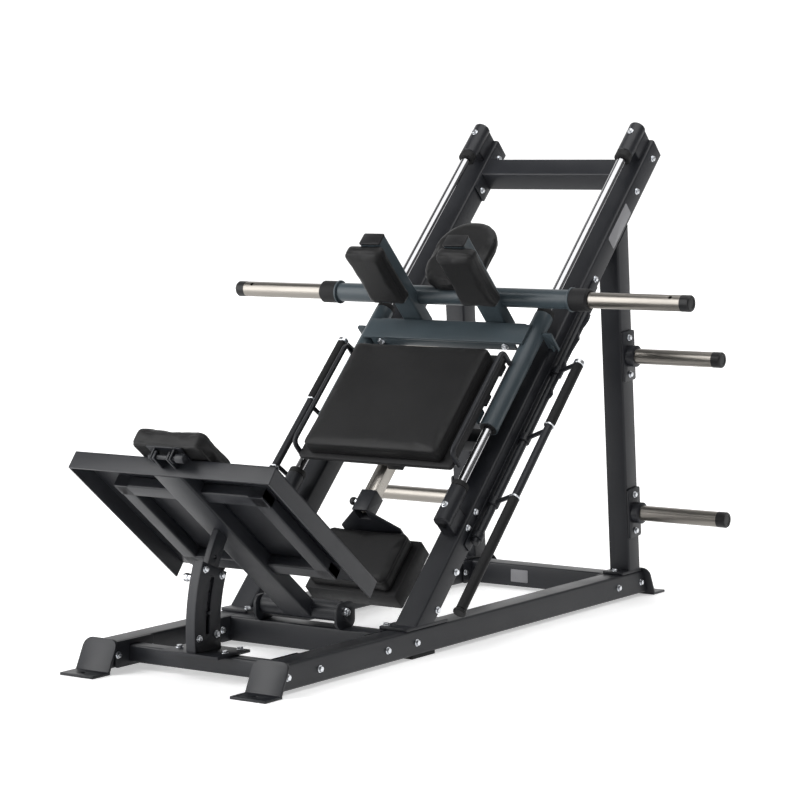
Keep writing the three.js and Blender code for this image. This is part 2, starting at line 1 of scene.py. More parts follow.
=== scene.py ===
# %% [markdown]
# A leg press and hack squat machine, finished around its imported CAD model. The CAD says where every
# piece is and how it moves. This notebook gives the pieces their rounded edges, welds, bolts,
# upholstery and finishes, one kind of piece at a time.

# %% Load the frame
import json
from math import cos, pi, radians, sin, tan

import bpy
from mathutils import Matrix, Vector


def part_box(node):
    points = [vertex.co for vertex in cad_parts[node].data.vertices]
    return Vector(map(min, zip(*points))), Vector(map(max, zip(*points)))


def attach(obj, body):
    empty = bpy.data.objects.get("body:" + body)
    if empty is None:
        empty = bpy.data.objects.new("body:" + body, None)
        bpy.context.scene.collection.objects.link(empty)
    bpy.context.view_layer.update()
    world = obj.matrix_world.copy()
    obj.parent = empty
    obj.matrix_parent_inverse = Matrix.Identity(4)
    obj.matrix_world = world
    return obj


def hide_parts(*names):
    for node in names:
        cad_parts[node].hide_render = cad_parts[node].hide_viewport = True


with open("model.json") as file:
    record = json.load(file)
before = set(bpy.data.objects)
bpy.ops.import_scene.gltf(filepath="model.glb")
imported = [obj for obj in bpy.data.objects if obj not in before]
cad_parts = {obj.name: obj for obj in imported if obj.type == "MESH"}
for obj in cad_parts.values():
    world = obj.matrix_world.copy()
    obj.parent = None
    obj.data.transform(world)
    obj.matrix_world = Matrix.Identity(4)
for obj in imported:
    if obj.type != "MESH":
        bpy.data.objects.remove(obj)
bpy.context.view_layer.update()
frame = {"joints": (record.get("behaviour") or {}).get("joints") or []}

joints = {joint["name"]: joint for joint in frame["joints"]}

# %% [markdown]
# Three sets of axes are used: the floor's, the incline's (across, along the guide rods, square to
# them) and the platform's. A piece is easiest to model square to its own axes, at its real size in
# millimetres, and then its mesh is carried over to the floor's axes. The incline starts where the
# guide rods' own box says, and the platform turns about its hinge.

# %% Axes of the incline and the platform
MM = 0.001
SLOPE = 45
ROD = {"x": 300, "z": 57, "middle": 1163.5, "radius": 15}
TILT = -38


def middle(node):
    low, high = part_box(node)
    return (Vector(low) + Vector(high)) / 2


turned_up = Matrix.Rotation(radians(SLOPE), 4, "X")
rod_middle = turned_up @ (Vector((-ROD["x"], ROD["middle"], ROD["z"])) * MM)
incline = Matrix.Translation(middle("guide_rod_left") - rod_middle) @ turned_up
pivot = Vector(joints["platform_tilt"]["pos_m"])
platform = Matrix.Translation(pivot) @ Matrix.Rotation(radians(TILT), 4, "X")
floor_axes = Matrix.Identity(4)
print("incline starts at", [round(v, 4) for v in incline.translation])

# %% [markdown]
# Shader maths reads best as plain expressions, so one small class wraps a socket and turns +, - and *
# into Math nodes. Every other node comes from one method of the Recipe class, which also keeps the
# Principled shader at hand.

# %% Shader expressions
class Signal:
    def __init__(self, recipe, socket):
        self.recipe, self.socket = recipe, socket

    def combine(self, operation, first, second):
        return self.recipe.node("ShaderNodeMath", {"operation": operation}, {0: first, 1: second})

    def __add__(self, other):
        return self.combine("ADD", self, other)

    def __mul__(self, other):
        return self.combine("MULTIPLY", self, other)

    def __rsub__(self, other):
        return self.combine("SUBTRACT", other, self)

    __radd__ = __add__
    __rmul__ = __mul__


class Recipe:
    def __init__(self, name, color, roughness, metallic=0.0, **fixed):
        self.material = bpy.data.materials.new(name)
        self.material.use_nodes = True
        self.tree = self.material.node_tree
        self.shader = self.tree.nodes["Principled BSDF"]
        self.material.diffuse_color = (*color, 1)
        values = {"Base Color": (*color, 1), "Roughness": roughness, "Metallic": metallic}
        for key, value in {**values, **fixed}.items():
            self.shader.inputs[key.replace("_", " ")].default_value = value
        place = self.tree.nodes.new("ShaderNodeTexCoord")
        self.place = Signal(self, place.outputs["Object"])

    def node(self, kind, settings, sockets, output=0):
        made = self.tree.nodes.new(kind)
        for key, value in settings.items():
            setattr(made, key, value)
        for key, value in sockets.items():
            self.feed(made.inputs[key], value)
        return Signal(self, made.outputs[output])

    def feed(self, socket, value):
        if isinstance(value, Signal):
            self.tree.links.new(value.socket, socket)
        else:
            socket.default_value = value

    def noise(self, scale, detail=2.0, stretch=None):
        where = self.place
        if stretch:
            where = self.node("ShaderNodeMapping", {}, {"Vector": self.place, "Scale": stretch})
        return self.node("ShaderNodeTexNoise", {}, {"Vector": where, "Scale": scale, "Detail": detail})

    def mix(self, factor, first, second):
        sockets = {"Factor": factor, "A": (*first, 1), "B": (*second, 1)}
        made = self.tree.nodes.new("ShaderNodeMix")
        made.data_type = "RGBA"
        self.feed(made.inputs[0], sockets["Factor"])
        self.feed(made.inputs[6], sockets["A"])
        self.feed(made.inputs[7], sockets["B"])
        return Signal(self, made.outputs[2])

    def ramp(self, value, low, high):
        settings = {"clamp": True}
        sockets = {"Value": value, "From Min": low, "From Max": high}
        return self.node("ShaderNodeMapRange", settings, sockets)

    def bump(self, height, depth, strength=1.0):
        sockets = {"Height": height, "Distance": depth, "Strength": strength}
        self.feed(self.shader.inputs["Normal"], self.node("ShaderNodeBump", {}, sockets))

    def set(self, key, value):
        self.feed(self.shader.inputs[key], value)

# %% [markdown]
# Powder coat is paint that was sprayed on dry and melted in an oven. It is satin, with a faint
# orange peel about a millimetre across, and handling dulls it in soft patches. Two noises give both:
# a fine one bends the surface, and a coarse one shifts roughness and colour a little.

# %% Painted finishes
def powder_coat(name, color, dusty, roughness):
    paint = Recipe(name, color, roughness, Specular_IOR_Level=0.31)
    patches = paint.ramp(paint.noise(7.0, 4.0), 0.35, 0.75)
    peel = paint.noise(650.0, 2.0)
    paint.set("Base Color", paint.mix(patches * 0.8, color, dusty))
    paint.set("Roughness", patches * 0.1 + (peel * 0.06 + (roughness - 0.08)))
    paint.bump(peel, 0.0004, 0.35)
    return paint.material


BLACK = powder_coat("black powder coat", (0.011, 0.012, 0.015), (0.017, 0.018, 0.022), 0.42)
BLUE = powder_coat("blue-grey powder coat", (0.041, 0.055, 0.064), (0.05, 0.066, 0.076), 0.36)

# %% [markdown]
# The guide rods are ground and chromed, so they are almost a mirror with the faintest turned lines.
# The weight sleeves and the seat rail are brushed nickel: a noise that is squeezed along one axis
# gives the brush lines. Bolts are zinc plated, with a cloudy surface.

# %% Bright metal finishes
def turned_metal(name, color, roughness, squeeze, depth):
    metal = Recipe(name, color, roughness, 1.0)
    lines = metal.noise(1.0, 3.0, squeeze)
    smudge = metal.ramp(metal.noise(9.0, 3.0), 0.4, 0.7)
    metal.set("Roughness", lines * 0.08 + (smudge * 0.04 + (roughness - 0.05)))
    metal.bump(lines, depth, 0.2)
    return metal.material


CHROME = turned_metal("hard chrome", (0.36, 0.36, 0.37), 0.13, (30, 900, 900), 0.00002)
NICKEL = turned_metal("brushed nickel", (0.245, 0.229, 0.208), 0.32, (1400, 18, 18), 0.00008)
RAIL_METAL = turned_metal("brushed rail", (0.36, 0.34, 0.31), 0.28, (900, 12, 12), 0.00005)
ZINC = turned_metal("zinc plate", (0.72, 0.74, 0.77), 0.28, (300, 300, 300), 0.00006)
print("bright finishes", [metal.name for metal in (CHROME, NICKEL, RAIL_METAL, ZINC)])

# %% [markdown]
# Upholstery vinyl has a pressed grain: small cells with soft valleys, and wide shallow puckers where
# it is pulled round an edge. Foam grips and rubber are duller, with a coarser matt skin. Plastic caps
# are smooth but not shiny. The plates that stand for labels are plain.

# %% Soft and moulded finishes
def grained(name, color, worn, roughness, cell, depth):
    skin = Recipe(name, color, roughness, Specular_IOR_Level=0.21)
    settings = {"feature": "SMOOTH_F1"}
    cells = skin.node("ShaderNodeTexVoronoi", settings, {"Vector": skin.place, "Scale": cell})
    pucker = skin.noise(22.0, 3.0)
    rubbed = skin.ramp(skin.noise(5.0, 3.0), 0.35, 0.75)
    skin.set("Base Color", skin.mix(rubbed, color, worn))
    skin.set("Roughness", rubbed * 0.1 + (cells * 0.12 + (roughness - 0.1)))
    skin.bump(cells + pucker * 2.5, depth, 0.5)
    return skin.material


VINYL = grained("black vinyl", (0.007, 0.007, 0.0075), (0.011, 0.011, 0.0115), 0.5, 700.0, 0.0005)
RUBBER = grained("black rubber", (0.009, 0.009, 0.01), (0.014, 0.014, 0.014), 0.62, 420.0, 0.0004)
PLASTIC = grained("black plastic", (0.012, 0.012, 0.013), (0.016, 0.016, 0.017), 0.38, 300.0, 0.0001)
BOARD = grained("painted board", (0.014, 0.014, 0.015), (0.022, 0.022, 0.023), 0.55, 90.0, 0.0003)
LABEL = grained("plain label", (0.2, 0.2, 0.21), (0.26, 0.26, 0.27), 0.4, 60.0, 0.0001)
print("finishes", [material.name for material in bpy.data.materials])

# %% [markdown]
# The modelling helpers work the way a person does: add a primitive at its size and place, select
# edges or faces by where they are, and bevel or extrude them. Lengths are in millimetres. Each piece
# ends by being settled: its mesh is carried to the floor's axes, it gets its finish, and it rides on
# its body.

# %% Modelling helpers
def fresh():
    if bpy.context.object and bpy.context.object.mode != "OBJECT":
        bpy.ops.object.mode_set(mode="OBJECT")
    bpy.ops.object.select_all(action="DESELECT")


def pick(piece, test, kind="edges"):
    bpy.ops.object.mode_set(mode="OBJECT")
    for group in (piece.data.vertices, piece.data.edges, piece.data.polygons):
        for item in group:
            item.select = False
    for item in getattr(piece.data, kind):
        item.select = test(item)
    bpy.ops.object.mode_set(mode="EDIT")


def ends(piece, edge):
    return [piece.data.vertices[i].co for i in edge.vertices]


def runs_along(piece, axis):
    def test(edge):
        a, b = ends(piece, edge)
        gap = b - a
        return abs(gap["xyz".index(axis)]) > 0.999 * gap.length
    return test


def bevel_edges(piece, test, width, segments=3):
    bpy.ops.object.mode_set(mode="EDIT")
    bpy.ops.mesh.select_mode(type="EDGE")
    pick(piece, test)
    bpy.ops.mesh.bevel(offset=width * MM, segments=segments, affect="EDGES")
    bpy.ops.object.mode_set(mode="OBJECT")


def block(x, y, z, corner=0, axis=None, segments=4):
    fresh()
    spans = [sorted(span) for span in (x, y, z)]
    centre = [(a + b) / 2 * MM for a, b in spans]
    size = [(b - a) * MM for a, b in spans]
    bpy.ops.mesh.primitive_cube_add(size=1, location=centre)
    piece = bpy.context.object
    piece.scale = size
    bpy.ops.object.transform_apply(location=True, rotation=True, scale=True)
    if corner:
        test = runs_along(piece, axis) if axis else (lambda edge: True)
        bevel_edges(piece, test, corner, segments)
    return piece


AIM = {"x": Matrix.Rotation(pi / 2, 4, "Y"), "y": Matrix.Rotation(-pi / 2, 4, "X"), "z": floor_axes}


def turned(axis, profile, centre=(0, 0), hollow=False, sides=48):
    """A round piece: a circle, extruded and resized from station to station of the profile."""
    fresh()
    (start, radius), *rest = profile
    fill = "NOTHING" if hollow else "NGON"
    bpy.ops.mesh.primitive_circle_add(vertices=sides, radius=radius * MM, fill_type=fill)
    piece = bpy.context.object
    bpy.ops.object.mode_set(mode="EDIT")
    bpy.ops.mesh.select_mode(type="EDGE")
    bpy.ops.mesh.select_all(action="SELECT")
    at = 0.0
    for station, wide in rest + ([profile[0]] if hollow else []):
        step = (station - start) * MM - at
        bpy.ops.mesh.extrude_region_move(TRANSFORM_OT_translate={"value": (0, 0, step)})
        at += step
        change = wide / radius
        bpy.ops.transform.resize(value=(change, change, 1), center_override=(0, 0, at))
        radius = wide
    bpy.ops.mesh.select_all(action="SELECT")
    bpy.ops.mesh.remove_doubles(threshold=0.00001)
    bpy.ops.mesh.normals_make_consistent(inside=False)
    bpy.ops.object.mode_set(mode="OBJECT")
    a, b = centre
    where = {"x": (start, a, b), "y": (a, start, b), "z": (a, b, start)}[axis]
    piece.data.transform(Matrix.Translation(Vector(where) * MM) @ AIM[axis])
    return piece


def bar(axis, radius, span, centre=(0, 0), chamfer=1.5, sides=48):
    a, b = sorted(span)
    small = radius - chamfer
    profile = [(a, small), (a + chamfer, radius), (b - chamfer, radius), (b, small)]
    return turned(axis, profile, centre, sides=sides)


def pipe(axis, outer, inner, span, centre=(0, 0), chamfer=1.0, sides=48):
    a, b = sorted(span)
    profile = [(a, inner), (a, outer - chamfer), (a + chamfer, outer), (b - chamfer, outer)]
    profile += [(b, outer - chamfer), (b, inner)]
    return turned(axis, profile, centre, True, sides)


def rod(points, radius, bend=0, segments=6, sides=24):
    """A bent rod: a poly curve with round corners and a round section, made a mesh."""
    fresh()
    curve = bpy.data.curves.new("rod", "CURVE")
    curve.dimensions = "3D"
    spline = curve.splines.new("POLY")
    path = [Vector(points[0])]
    for before, here, after in zip(points, points[1:], points[2:]):
        here = Vector(here)
        if not bend:
            path.append(here)
            continue
        back = (Vector(before) - here).normalized() * bend
        on = (Vector(after) - here).normalized() * bend
        for k in range(segments + 1):
            t = k / segments
            path.append(here + back * (1 - t) ** 2 + on * t ** 2)
    path.append(Vector(points[-1]))
    spline.points.add(len(path) - 1)
    for point, place in zip(spline.points, path):
        point.co = (*(place * MM), 1)
    curve.bevel_depth = radius * MM
    curve.bevel_resolution = sides // 4 - 1
    curve.use_fill_caps = True
    piece = bpy.data.objects.new("rod", curve)
    bpy.context.scene.collection.objects.link(piece)
    piece.select_set(True)
    bpy.context.view_layer.objects.active = piece
    bpy.ops.object.convert(target="MESH")
    return bpy.context.object


def join(*pieces):
    fresh()
    for piece in pieces:
        piece.select_set(True)
    bpy.context.view_layer.objects.active = pieces[0]
    bpy.ops.object.join()
    return bpy.context.object


def cut_off(piece, point, normal):
    """Removes what lies on the side that the normal points to, and closes the cut."""
    fresh()
    piece.select_set(True)
    bpy.context.view_layer.objects.active = piece
    bpy.ops.object.mode_set(mode="EDIT")
    bpy.ops.mesh.select_all(action="SELECT")
    place = [v * MM for v in point]
    normal = Vector(normal).normalized()
    bpy.ops.mesh.bisect(plane_co=place, plane_no=normal, use_fill=True, clear_outer=True)
    bpy.ops.object.mode_set(mode="OBJECT")
    return piece


def drilled(piece, *tools):
    for tool in tools:
        fresh()
        bpy.context.view_layer.objects.active = piece
        cutter = piece.modifiers.new("drill", "BOOLEAN")
        cutter.operation = "DIFFERENCE"
        cutter.object = tool
        bpy.ops.object.modifier_apply(modifier="drill")
        bpy.data.objects.remove(tool)
    return piece


def soften(piece, width):
    edge = piece.modifiers.new("soft edges", "BEVEL")
    edge.width = width * MM
    edge.segments = 2
    edge.limit_method = "ANGLE"
    edge.angle_limit = radians(40)
    fresh()
    piece.select_set(True)
    bpy.context.view_layer.objects.active = piece
    bpy.ops.object.modifier_apply(modifier="soft edges")
    return piece


count = {"pieces": 0}


def settle(piece, name, axes, body, finish, slot, *nodes, smooth=32):
    piece.name = name
    piece.data.name = name
    piece.data.transform(axes)
    piece.data.materials.clear()
    piece.data.materials.append(finish)
    fresh()
    piece.select_set(True)
    bpy.context.view_layer.objects.active = piece
    bpy.ops.object.shade_smooth_by_angle(angle=radians(smooth))
    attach(piece, body)
    if nodes:
        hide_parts(*nodes)
    count["pieces"] += 1
    return piece


SIDES = {"left": -1, "right": 1}


def side_x(side, a, b):
    return (a, b) if side > 0 else (-b, -a)

# %% [markdown]
# The floor frame is square tube with bolted flanges. Real square tube has rounded corners, and they
# draw the bright lines along it, so the four long edges are bevelled. The rails' ends are cut to the
# lean of their feet.

# %% Floor rails and their feet
TUBE, CORNER, FLANGE = 75, 7, 8
HALF = TUBE / 2
INNER, OUTER = ROD["x"] - HALF, ROD["x"] + HALF
RAIL_Z = (10, 85)
RAIL_END = 999.5
RAISE = (42, 86)


def foot(end):
    toe, heel, wide = RAIL_END + 112.5, RAIL_END + 45, 60
    plate = block((-wide, wide), (heel - 9, heel), (0, FLANGE))
    bpy.ops.object.mode_set(mode="EDIT")
    bpy.ops.mesh.select_mode(type="FACE")
    pick(plate, lambda face: face.normal.y > 0.9, "polygons")
    bpy.ops.mesh.extrude_region_move(TRANSFORM_OT_translate={"value": (0, (toe - heel) * MM, 0)})
    pick(plate, lambda face: face.normal.z > 0.9 and face.center.y < heel * MM - 0.001, "polygons")
    lift = (0, -RAISE[0] * MM, RAISE[1] * MM)
    bpy.ops.mesh.extrude_region_move(TRANSFORM_OT_translate=dict(value=lift))
    bpy.ops.object.mode_set(mode="OBJECT")

    def top_corner(edge):
        a, b = ends(plate, edge)
        return min(a.z, b.z) > 0.09 and abs(a.x - b.x) < 1e-5
    bevel_edges(plate, top_corner, 24, 6)
    hole = bar("z", 8, (-5, 20), (0, (toe + heel) / 2), 0.1, 24)
    plate = soften(drilled(plate, hole), 1.2)
    if end < 0:
        plate.data.transform(Matrix.Rotation(pi, 4, "Z"))
    return plate


def rail():
    tube = block((-HALF, HALF), (-RAIL_END - 40, RAIL_END + 40), RAIL_Z, CORNER, "y")
    for end in (-1, 1):
        cut_off(tube, (0, end * RAIL_END, RAIL_Z[1]), (0, end * RAISE[1], RAISE[0]))
    return tube


for name, side in SIDES.items():
    shift = Matrix.Translation((side * ROD["x"] * MM, 0, 0))
    settle(rail(), f"floor_rail_{name}", shift, "frame", BLACK, "frame_black", f"rail_{name}")
    for place, end in (("front", -1), ("rear", 1)):
        settle(foot(end), f"foot_{place}_{name}", shift, "frame", BLACK, "frame_black")
    pad = block((-34, 34), (-372, -250), (0.5, 10), 3, "z")
    settle(pad, f"rail_pad_{name}", shift, "frame", RUBBER, "rubber")
print("rails and feet", count["pieces"])

# %% [markdown]
# Three cross tubes tie the rails together. Each is bolted on through an upright flange at both ends,
# so it stops a few millimetres short of the rail. The middle one carries the two ears of the hinge.

# %% Cross tubes with their flanges
FRONT_Y, CROSS_Y, REAR_Y = -907.5, -427.5, 911.5
REACH = INNER - 0.3


def cross_tube(y, z, depth):
    tube = block((-REACH + 6, REACH - 6), (y - depth / 2, y + depth / 2), z, CORNER - 1, "x")
    flanges = []
    for side in SIDES.values():
        x = side_x(side, REACH - 6, REACH)
        flanges.append(block(x, (y - 85, y + 85), RAIL_Z, 10, "x"))
    return join(tube, *[soften(flange, 0.8) for flange in flanges])


CROSS = {"front": (FRONT_Y, (20, 70), 50), "rear": (REAR_Y, RAIL_Z, TUBE)}
for name, (y, z, depth) in CROSS.items():
    tube = cross_tube(y, z, depth)
    settle(tube, f"cross_tube_{name}", floor_axes, "frame", BLACK, "frame_black", f"{name}_cross_tube")

ears = [cross_tube(CROSS_Y, RAIL_Z, TUBE)]
for side in SIDES.values():
    ear = block(side_x(side, 141, 151), (-489.5, -397.5), (84, 161), 24, "x", 6)
    hole = bar("x", 12.8, (-170, 170), (pivot.y / MM, pivot.z / MM), 0.1, 40)
    ears.append(soften(drilled(ear, hole), 0.8))
settle(join(*ears), "cross_tube_pivot", floor_axes, "frame", BLACK, "frame_black", "pivot_cross_tube")
pin = bar("x", 12.5, (-158, 158), (pivot.y / MM, pivot.z / MM), 2)
settle(pin, "hinge_pin", floor_axes, "frame", ZINC, "chrome", "pivot_pin")

# %% [markdown]
# The uprights and rear posts are the same tube, cut at a slant where they meet the base plates and
# each other. The rod sockets are short turned cups on welded blocks.

# %% Uprights, rear posts and rod sockets
UPRIGHT = 1994
BASE_Z = 95
POST_Y, POST_LEAN = 907, 5
SOCKETS = (("lower", (334, 464), (334, 409)), ("upper", (1870, 1993), (1898, 1993)))

for name, side in SIDES.items():
    across = Matrix.Translation((side * ROD["x"] * MM, 0, 0))
    tube = block((-HALF, HALF), (-80, UPRIGHT), (-TUBE, 0), CORNER, "y")
    cut_off(tube, (0, 0, 0), (0, -1, -1))
    cap = block((-HALF + 2, HALF - 2), (UPRIGHT - 4, UPRIGHT + 3), (-TUBE + 2, -2), 4)
    axes = across @ incline
    settle(tube, f"upright_tube_{name}", axes, "frame", BLACK, "frame_black", f"upright_{name}")
    settle(cap, f"upright_cap_{name}", axes, "frame", PLASTIC, "rubber")
    base_x = side_x(side, -60, HALF)
    base = block(base_x, (-407, -183), (85.3, BASE_Z), 6, "z")
    settle(soften(base, 1), f"upright_base_{name}", across, "frame", BLACK, "frame_black")
    for place, span, block_span in SOCKETS:
        low, high = span
        outline = [(low, 24), (low + 3, 27), (high - 2, 27), (high, 25.5)]
        cup = turned("y", outline, (0, ROD["z"]))
        seat = block((-24, 24), block_span, (-1, ROD["z"]), 5, "z")
        cup = join(cup, soften(seat, 1))
        settle(cup, f"rod_socket_{place}_{name}", axes, "frame", BLACK, "frame_black")
        ring = (464, 484) if place == "lower" else (1845, 1869.5)
        stop = pipe("y", 27, 15.3, ring, (0, ROD["z"]), 2.5)
        nodes = [f"bumper_{name}"] if place == "lower" else []
        settle(stop, f"rod_stop_{place}_{name}", axes, "frame", RUBBER, "rubber", *nodes)
    bright = bar("y", ROD["radius"], (400, 1950), (0, ROD["z"]), 1, 64)
    settle(bright, f"chromed_rod_{name}", axes, "frame", CHROME, "chrome", f"guide_rod_{name}")

    leaning = Matrix.Translation((side * ROD["x"] * MM, POST_Y * MM, BASE_Z * MM))
    leaning = leaning @ Matrix.Rotation(radians(POST_LEAN), 4, "X")
    post = block((-HALF, HALF), (0, TUBE), (-20, 1200), CORNER, "z")
    low = Vector((0, -sin(radians(POST_LEAN)), -cos(radians(POST_LEAN))))
    cut_off(post, (0, 0, 0), low)
    back = leaning.inverted() @ (axes @ (Vector((0, 1200, -TUBE - 0.3)) * MM)) / MM
    up = leaning.to_3x3().inverted() @ Vector((0, -1, 1))
    cut_off(post, back, up)
    settle(post, f"post_tube_{name}", leaning, "frame", BLACK, "frame_black", f"rear_post_{name}")
    base = block((-HALF, HALF), (POST_Y - 46, POST_Y + 82), (85.3, BASE_Z), 4, "z")
    settle(soften(base, 1), f"post_base_{name}", across, "frame", BLACK, "frame_black")

top = block((-REACH + 6, REACH - 6), (1833, 1908), (-TUBE, 0), CORNER, "x")
plates = [block(side_x(s, REACH - 6, REACH), (1775.5, 1965.5), (-TUBE, 0), 8, "x") for s in SIDES.values()]
top = join(top, *[soften(plate, 0.8) for plate in plates])
settle(top, "cross_tube_top", incline, "frame", BLACK, "frame_black", "upper_cross_tube")
print("frame pieces", count["pieces"])

# %% [markdown]
# A storage horn is a flange bolted to the rear post, a short collar and a brushed sleeve with a black
# cap. The sled's horns are made of the same sleeve, with a hole for a collar's pin.

# %% Storage horns
def end_cap(axis, station, out, centre, radius=25):
    profile = [(station, radius - 2), (station + out * 2, radius + 0.6), (station + out * 30, radius + 0.6)]
    profile += [(station + out * 34, radius - 2), (station + out * 34.5, radius - 9)]
    profile += [(station + out * 32.5, radius - 11)]
    return turned(axis, profile, centre)


def post_middle(z):
    return POST_Y - (z - BASE_Z) * tan(radians(POST_LEAN)) + HALF


HORN_LEVELS = {"upper": 805, "lower": 287}
for level, z in HORN_LEVELS.items():
    y = post_middle(z)
    for name, side in SIDES.items():
        axes = Matrix.Translation((0, y * MM, z * MM))
        bracket = block(side_x(side, OUTER + 0.3, OUTER + 8.3), (-HALF, HALF), (-82, 82), 8, "x")
        bracket = soften(bracket, 1)
        bracket.data.transform(Matrix.Rotation(radians(POST_LEAN), 4, "X"))
        near, far = OUTER + 8, OUTER + 36
        outline = [(near, 34), (near + 4, 35), (far, 35), (far + 2, 31)]
        collar = turned("x", [(side * station, radius) for station, radius in outline])
        piece = join(bracket, collar)
        nodes = f"storage_horn_{level}_{name}"
        settle(piece, f"horn_flange_{level}_{name}", axes, "frame", BLACK, "nickel", nodes)
        sleeve = bar("x", 25, (side * (far - 5), side * 655), (0, 0), 0.5, 64)
        settle(sleeve, f"storage_sleeve_{level}_{name}", axes, "frame", NICKEL, "nickel")
        cap = end_cap("x", side * 650, side, (0, 0))
        settle(cap, f"storage_cap_{level}_{name}", axes, "frame", PLASTIC, "rubber")

# %% [markdown]
# The sled is blue-grey. Its slide tubes hold a black bearing at each end, the cover plate is a sheet
# with a lip, and the horn tube runs through round holes in the two shoulder posts.

# %% Sled: slide tubes, cover plate and horn tube
SLIDE = (699, 1156)
HORN = (1159, 139)
for name, side in SIDES.items():
    axes = Matrix.Translation((side * ROD["x"] * MM, 0, 0)) @ incline
    tube = pipe("y", 30, 26, SLIDE, (0, ROD["z"]), 1, 64)
    fork = block(side_x(side, 29, 64), (1074, 1082), (-12, 68), 7, "y")
    notch = block(side_x(side, 46, 57), (1070, 1086), (-20, 14), 4, "y")
    inner = block(side_x(side, 20, 38.5), (1070, 1086), (-20, 2))
    fork = soften(drilled(fork, notch, inner), 0.8)
    settle(join(tube, fork), f"slide_{name}", axes, "sled", BLUE, "sled_blue", f"slide_tube_{name}")
    bearing = [(1150, 15.6), (1150, 27), (1156.3, 27), (1156.3, 28)]
    bearing += [(1158, 29), (1173, 29), (1176, 26), (1176, 15.6)]
    cap = turned("y", bearing, (0, ROD["z"]), True)
    low_cap = pipe("y", 28, 15.6, (698.6, 702), (0, ROD["z"]), 2)
    settle(join(cap, low_cap), f"bearing_{name}", axes, "sled", RUBBER, "rubber", f"linear_bearing_{name}")


def folded_cover():
    x, y0, y1, z0, z1 = 298, 1011, 1089, 87.3, 97
    sheet = block((-x, x), (y0, y1), (z0, z1))
    lip = block((-268, 268), (y0, y0 + 8), (60, z0 + 1))
    return join(soften(sheet, 2.5), soften(lip, 2))


settle(folded_cover(), "cover_plate", incline, "sled", BLUE, "sled_blue", "sled_cross_plate")
for node, y, z in (("sled_cross_tube", 1078, (36.5, 86.5)), ("sled_lower_tube", 727, (69, 87))):
    tube = block((-269.5, 269.5), (y - 25, y + 25), z, 5, "x")
    settle(tube, node.replace("sled", "hidden"), incline, "sled", BLUE, "sled_blue", node)

horn = bar("x", 30, (-432, 432), HORN, 0.5, 64)
settle(horn, "horn_crossbar", incline, "sled", BLUE, "sled_blue", "horn_tube")
for name, side in SIDES.items():
    ring = pipe("x", 38, 27, (side * 431, side * 438), HORN, 1.5, 64)
    settle(ring, f"horn_ring_{name}", incline, "sled", BLUE, "sled_blue")
    outline = [(437, 35), (440, 35.5), (494, 35.5), (500, 30)]
    hub = turned("x", [(side * station, radius) for station, radius in outline], HORN, sides=64)
    settle(hub, f"horn_hub_{name}", incline, "sled", RUBBER, "rubber")
    sleeve = bar("x", 25, (side * 496, side * 815), HORN, 0.5, 64)
    hole = bar("z", 6, (HORN[1] - 60, HORN[1] + 60), (side * 782, HORN[0]), 0.1, 24)
    sleeve = drilled(sleeve, hole)
    settle(sleeve, f"weight_sleeve_{name}", incline, "sled", NICKEL, "nickel", f"horn_sleeve_{name}")
    cap = end_cap("x", side * 812, side, HORN)
    settle(cap, f"weight_cap_{name}", incline, "sled", PLASTIC, "rubber")

# %% [markdown]
# The shoulder posts stand square to the sled, drilled for the horn tube and closed with plastic caps.
# The back pad lies on a painted board with two battens, and a bent rod beside it is the hand rail. A
# rod is quickest as a curve with a round section, which is then made a mesh.

# %% Shoulder posts and the brackets of the pads
SHOULDER = {"x": 155, "y": (1104, 1149), "z": (38, 424)}
for name, side in SIDES.items():
    x = side * SHOULDER["x"]
    tube = block((x - HALF, x + HALF), SHOULDER["y"], SHOULDER["z"], 6, "z")
    tube = drilled(tube, bar("x", 30.2, (x - 60, x + 60), HORN, 0.1, 64))
    settle(tube, f"shoulder_tube_{name}", incline, "sled", BLUE, "sled_blue", f"shoulder_post_{name}")
    cap = block((x - HALF - 0.5, x + HALF + 0.5), (1103.5, 1149.5), (423, 430), 5, "z")
    settle(soften(cap, 2), f"shoulder_cap_{name}", incline, "sled", PLASTIC, "rubber")

bracket = join(
    soften(block((-45, 45), (1189.4, 1340), (165, 170.8)), 1.5),
    soften(block((-45, 45), (1189.4, 1195.4), (112, 170)), 1.5),
)
settle(bracket, "head_bracket", incline, "sled", BLUE, "sled_blue", "head_pad_bracket")
board = soften(block((-281, 281), (500, 945), (99, 112.7), 10, "z"), 1.5)
battens = [soften(block((-281, 281), y, (87.5, 100)), 1) for y in ((760, 800), (880, 920))]
latch = soften(block((40, 92), (502, 532), (76, 100), 4, "x"), 1)
settle(join(board, *battens, latch), "pad_board", incline, "sled", BOARD, "board_black", "back_board")
for name, side in SIDES.items():
    x = side * 289.6
    path = [(x, 525, 92), (x, 525, 152), (x, 930, 152), (x, 930, 92)]
    handle = rod(path, 8, 24)
    settle(handle, f"hand_rail_{name}", incline, "sled", BLACK, "frame_black", f"side_handle_{name}")
print("with the sled", count["pieces"])

# %% [markdown]
# Each safety bar turns on a shaft along its upright: three arms carry the outer bar, whose upper and
# lower stretches are covered with foam grips between bright collars. The catch plate beside the shaft
# has three notches.

# %% Safety bars
SAFETY = {"x": 360, "z": -52, "arm": 113, "radius": 12.5}
ANGLE = {"right": 28, "left": 70}


